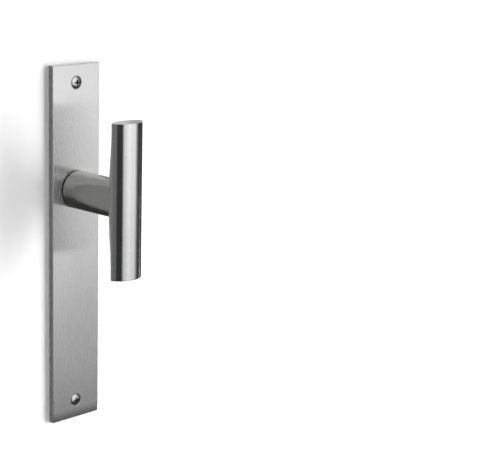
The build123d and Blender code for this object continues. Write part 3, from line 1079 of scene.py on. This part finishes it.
@dataclass
class Studio:
    """Wall, floor, reflection cards, lamp and camera, in metres. Nothing here belongs to the handle.

    Each card glows by pairs of curves. The first is read across the card, in metres or, round the
    handle, in degrees from straight ahead. The second is read over its height or depth in metres.
    """

    wall_half: float = 2.0
    wall_paint: str = "#F4F4F4"
    wall_glow: float = 0.14
    opening: Point = (0.019, -0.1565, 0.0815)
    floor_paint: str = "#F0F0F0"
    floor_glow: float = 0.35
    wall_behind: float = 0.0002
    floor_height: float = -1.0
    wing_start: float = 0.0203
    tent_radius: float = 1.8
    tent_heights: Flat = (-0.95, 1.2)
    tent_points: int = 92
    table_glow: float = 0.02
    ceiling_glow: float = 0.6
    tall_bands: Curve = (
        (-90, 0.05), (-72, 0.05), (-60, 0.12), (-50, 0.35), (-40, 0.75), (-28, 1.1),
        (-17, 1.33), (-6, 1.36), (4, 1.2), (14, 1), (21, 0.75), (25, 0.04),
        (52, 0.04), (56, 0.22), (66, 0.22), (74, 0.12), (88, 0.12), (89.3, 0.2), (90, 0.2),
    )
    tall_levels: Curve = (
        (-0.95, 0.12), (-0.8, 0.42), (-0.68, 0.7), (-0.6, 0.8), (-0.5, 0.96), (-0.42, 1.05),
        (-0.28, 0.97), (-0.2, 1.17), (-0.15, 1.3), (-0.11, 1.3), (-0.04, 0.95), (0.1, 1),
        (0.3, 1.6), (1.2, 1.3),
    )
    low_bands: Curve = (
        (-65, 0), (-56, 0.15), (-50, 0.5), (-44, 0.7), (-38, 0.65), (-30, 0.2), (-22, 0),
    )
    low_levels: Curve = (
        (-0.77, 0), (-0.6, 0.1), (-0.52, 0.4), (-0.45, 0.7), (-0.35, 0.75), (-0.26, 1.05),
        (-0.16, 1.2), (-0.12, 1.2), (-0.06, 0.1), (0.1, 0),
    )
    wing_heights: Flat = (-0.3, 0.2)
    wing_glow: float = 0.05
    wing_gap: float = 0.0015
    right_bands: Curve = ((0.02, 0.3), (0.046, 0.3), (0.056, 0))
    right_levels: Curve = ((-0.02, 0), (-0.005, 1), (0.05, 1))
    upper_bands: Curve = ((0.03, 1), (0.3, 1))
    upper_levels: Curve = ((0.045, 0), (0.065, 0.46))
    left_bands: Curve = ((-1.8, 0.6), (-0.6, 0.25), (-0.0245, 0.25), (-0.0203, 0.1))
    even_levels: Curve = ((-2, 1), (2, 1))
    table_bands: Curve = ((-0.3, 0.6), (0.03, 0.6), (0.15, 0.3), (1.1, 0.3), (1.4, 0))
    table_levels: Curve = ((-0.6, 0), (-0.4, 1), (0, 1))
    world_light: float = 0.15
    lamp_place: Point = (1.5, -0.8, 0)
    lamp_size: Flat = (1.65, 2.4)
    lamp_watts: float = 82.0
    camera_place: Point = (-0.6744503, -0.7809109, 0.2099646)
    camera_azimuth: float = -46.9285
    camera_elevation: float = 12.7753
    camera_roll: float = 1.4307
    camera_lens: float = 120.218
    camera_sensor: float = 36.0
    camera_near: float = 0.01

    def backdrop_material(self, name: str, colour: str, glow: float, one_sided: bool) -> Material:
        """Matt pale paint that keeps shadows and shows white to the camera and to the metal.

        Args:
            name: Name of the material.
            colour: sRGB colour of the paint.
            glow: Brightness added for rays of the camera, gloss and glass.
            one_sided: Leave the back of the sheet clear.

        Returns:
            The material.
        """
        material, tree = new_material(name)
        strength = add_node(tree, "ShaderNodeMath", {0: seen_rays(tree), 1: glow}, operation="MULTIPLY")
        paint = add_node(tree, "ShaderNodeBsdfDiffuse", {"Color": linear(colour)})
        light = add_node(tree, "ShaderNodeEmission", {"Color": linear(WHITE), "Strength": strength})
        surface = add_node(tree, "ShaderNodeAddShader", {0: paint, 1: light})
        if one_sided:
            behind = add_node(tree, "ShaderNodeNewGeometry").outputs["Backfacing"]
            clear = add_node(tree, "ShaderNodeBsdfTransparent")
            surface = add_node(tree, "ShaderNodeMixShader", {0: behind, 1: surface, 2: clear})
        add_node(tree, "ShaderNodeOutputMaterial", {"Surface": surface})
        return material

    def sheet(
        self, name: str, corners: Sequence[Point], faces: Sequence[Sequence[int]], material: Material
    ) -> Object:
        """Stage sheet in metres.

        Args:
            name: Name of the sheet.
            corners: Its corners.
            faces: Numbers of the corners of each face.
            material: Its paint or glow.

        Returns:
            The new object.
        """
        mesh = bpy.data.meshes.new(name)
        mesh.from_pydata(corners, [], faces)
        mesh.materials.append(material)
        sheet = add_object(name, mesh)
        return sheet

    def build_wall(self) -> None:
        """White wall round the plate, open behind it and clear from behind, and a pale floor below."""
        half, behind, floor = self.wall_half, self.wall_behind, self.floor_height
        side, foot, top = self.opening
        rim = [(-half, floor), (half, floor), (half, half), (-half, half)]
        rim += [(-side, foot), (side, foot), (side, top), (-side, top)]
        frame_faces = [(i, (i + 1) % 4, 4 + (i + 1) % 4, 4 + i) for i in range(4)]
        wall_paint = self.backdrop_material("wall_paint", self.wall_paint, self.wall_glow, True)
        self.sheet("wall", [(x, behind, z) for x, z in rim], frame_faces, wall_paint)
        corners = [(x, y, floor) for x, y in rectangle(2 * half, 2 * half)]
        floor_paint = self.backdrop_material("floor_paint", self.floor_paint, self.floor_glow, False)
        self.sheet("floor", corners, [(0, 1, 2, 3)], floor_paint)

    def build_tent(self) -> None:
        """Reflection cards round, over and under the handle, seen by the metal alone.

        Their brightness changes round the handle and with height, as soft boxes and the gaps
        between them do. Three wings lie on the wall, beside the plate and under it.
        """
        far, wall, near = self.tent_radius, -self.wall_behind, self.wing_start
        around = ((self.tall_bands, self.tall_levels), (self.low_bands, self.low_levels))
        glow = self.card_material("reflection_cards", around, 0.0, by_direction=True)
        self.card("round_card", arc((0, 0), far, 0, -180, self.tent_points), self.tent_heights, glow)
        heights, under = self.wing_heights, (self.wing_heights[0], self.opening[1] - self.wing_gap)
        right = ((self.right_bands, self.right_levels), (self.upper_bands, self.upper_levels))
        left = ((self.left_bands, self.even_levels),)
        for name, start, end, span, curves in (
            ("right_wing", near, far, heights, right),
            ("left_wing", -far, -near, heights, left),
            ("lower_wing", -near, near, under, ()),
        ):
            glow = self.card_material(name, curves, self.wing_glow)
            self.card(name, [(start, wall), (end, wall)], span, glow)
        table = ((self.table_bands, self.table_levels),)
        for name, level, curves, floor in (
            ("table_card", self.tent_heights[0], table, self.table_glow),
            ("ceiling_card", self.tent_heights[1], (), self.ceiling_glow),
        ):
            glow = self.card_material(name, curves, floor, second="Y")
            self.card(name, [(-far, 0), (far, 0)], (level, level), glow, far)

    def card(
        self, name: str, line: Sequence[Flat], heights: Flat, material: Material, reach: float = 0.0
    ) -> None:
        """Stage sheet that only reflections show.

        Args:
            name: Name of the card.
            line: Points of its foot on the floor plan.
            heights: Heights of its foot and of its top.
            material: Its glow.
            reach: How far its top comes forward of its foot.
        """
        corners = [(x, y, heights[0]) for x, y in line] + [(x, y - reach, heights[1]) for x, y in line]
        count = len(line)
        faces = [(i, i + 1, count + i + 1, count + i) for i in range(count - 1)]
        card = self.sheet(name, corners, faces, material)
        for ray in ("camera", "diffuse", "transmission", "volume_scatter", "shadow"):
            setattr(card, f"visible_{ray}", False)

    def card_material(
        self, name: str, curves: Curves, floor: float, second: str = "Z", by_direction: bool = False
    ) -> Material:
        """Glow of a card: a sum of curves across it times curves over its second axis.

        Args:
            name: Name of the material.
            curves: Pairs of curves.
            floor: Glow that the card has everywhere.
            second: The second axis, Z for an upright card and Y for a level one.
            by_direction: Read the first curves with the direction from the handle, not with X.

        Returns:
            The material.
        """
        material, tree = new_material(name)
        place_in_studio = add_node(tree, "ShaderNodeTexCoord").outputs["Object"]
        spot = add_node(tree, "ShaderNodeSeparateXYZ", {0: place_in_studio}).outputs
        across = spot["X"]
        if by_direction:
            left, out = (
                add_node(tree, "ShaderNodeMath", {0: spot[axis], 1: -1.0}, operation="MULTIPLY")
                for axis in "XY"
            )
            turn = add_node(tree, "ShaderNodeMath", {0: left, 1: out}, operation="ARCTAN2")
            across = add_node(tree, "ShaderNodeMath", {0: turn}, operation="DEGREES")
        glow: Node | float = floor
        for bands, levels in curves:
            strength = self.ramp(tree, across, bands)
            level = self.ramp(tree, spot[second], levels)
            inputs = {0: strength, 1: level, 2: glow}
            glow = add_node(tree, "ShaderNodeMath", inputs, operation="MULTIPLY_ADD")
        light = add_node(tree, "ShaderNodeEmission", {"Color": linear(WHITE), "Strength": glow})
        add_node(tree, "ShaderNodeOutputMaterial", {"Surface": light})
        return material

    def ramp(self, tree: NodeTree, value: Node | NodeSocket, stops: Curve) -> Node:
        """Curve of straight runs through its stops.

        Args:
            tree: Tree of the material.
            value: What the curve is read with.
            stops: Value and brightness of each stop, in order.

        Returns:
            Node with the brightness.
        """
        low, high = stops[0][0], stops[-1][0]
        most = max(brightness for _, brightness in stops)
        share = add_node(tree, "ShaderNodeMapRange", {"Value": value, "From Min": low, "From Max": high})
        node = add_node(tree, "ShaderNodeValToRGB", {"Fac": share})
        elements = node.color_ramp.elements
        elements.remove(elements[-1])
        for number, (place_on_ramp, brightness) in enumerate(stops):
            position = (place_on_ramp - low) / (high - low)
            element = elements[0] if number == 0 else elements.new(position)
            element.position = position
            element.color = (*[brightness / most] * 3, 1.0)
        return add_node(tree, "ShaderNodeMath", {0: node, 1: most}, operation="MULTIPLY")

    def build_world(self) -> None:
        """Even white surroundings: bright to the camera, softer as light on the handle."""
        world = bpy.data.worlds.new("studio")
        bpy.context.scene.world = world
        world.use_nodes = True
        tree = world.node_tree
        tree.nodes.clear()
        levels = {"Value": seen_rays(tree), "To Min": self.world_light, "To Max": 1.0}
        strength = add_node(tree, "ShaderNodeMapRange", levels)
        light = add_node(tree, "ShaderNodeBackground", {"Color": linear(WHITE), "Strength": strength})
        add_node(tree, "ShaderNodeOutputWorld", {"Surface": light})

    def build_lamp(self) -> None:
        """Wide key from the right, so that the plate's shadow falls softly to its left."""
        data = bpy.data.lights.new("key", "AREA")
        data.shape = "RECTANGLE"
        data.size, data.size_y = self.lamp_size
        data.energy = self.lamp_watts
        lamp = add_object("key", data)
        lamp.location = self.lamp_place
        lamp.rotation_euler = (-Vector(self.lamp_place)).to_track_quat("-Z", "Y").to_euler()
        lamp.visible_glossy = False

    def build_camera(self) -> None:
        """Camera at the photograph's place, with its slight roll."""
        azimuth, elevation, roll = (
            radians(angle) for angle in (self.camera_azimuth, self.camera_elevation, self.camera_roll)
        )
        flat = cos(elevation)
        back = Vector((sin(azimuth) * flat, -cos(azimuth) * flat, sin(elevation)))
        right = Vector((cos(azimuth), sin(azimuth), 0.0))
        level = Matrix((right, back.cross(right), back))
        tilt = Matrix.Rotation(-roll, 3, "Z")
        data = bpy.data.cameras.new("camera")
        data.sensor_fit = "HORIZONTAL"
        data.sensor_width = self.camera_sensor
        data.lens = self.camera_lens
        data.clip_start = self.camera_near
        camera = add_object("camera", data)
        camera.matrix_world = Matrix.Translation(self.camera_place) @ (tilt @ level).transposed().to_4x4()
        bpy.context.scene.camera = camera

    def build(self) -> None:
        """Set the whole studio up."""
        bpy.context.scene.view_settings.view_transform = "Standard"
        self.build_wall()
        self.build_tent()
        self.build_world()
        self.build_lamp()
        self.build_camera()


def main() -> None:
    """Build the pieces in order, dress them and set up the studio."""
    logging.basicConfig(level=logging.INFO, format="%(name)s %(message)s")
    Hardware().dress()
    plate, grip = Backplate(), Grip()
    ends = zip(("upper", "lower"), plate.screw_heights)
    plate_screws = [PlateScrew(f"{end}_plate_screw", height) for end, height in ends]
    pan_screws = [PanScrew(f"housing_screw_{number}") for number in range(1, 5)]
    for part in (plate, *plate_screws, grip, Neck(grip), FrontBush(), HousingCover(), *pan_screws):
        part.dress(part.build())
    Studio().build()


if __name__ == "__main__":
    main()
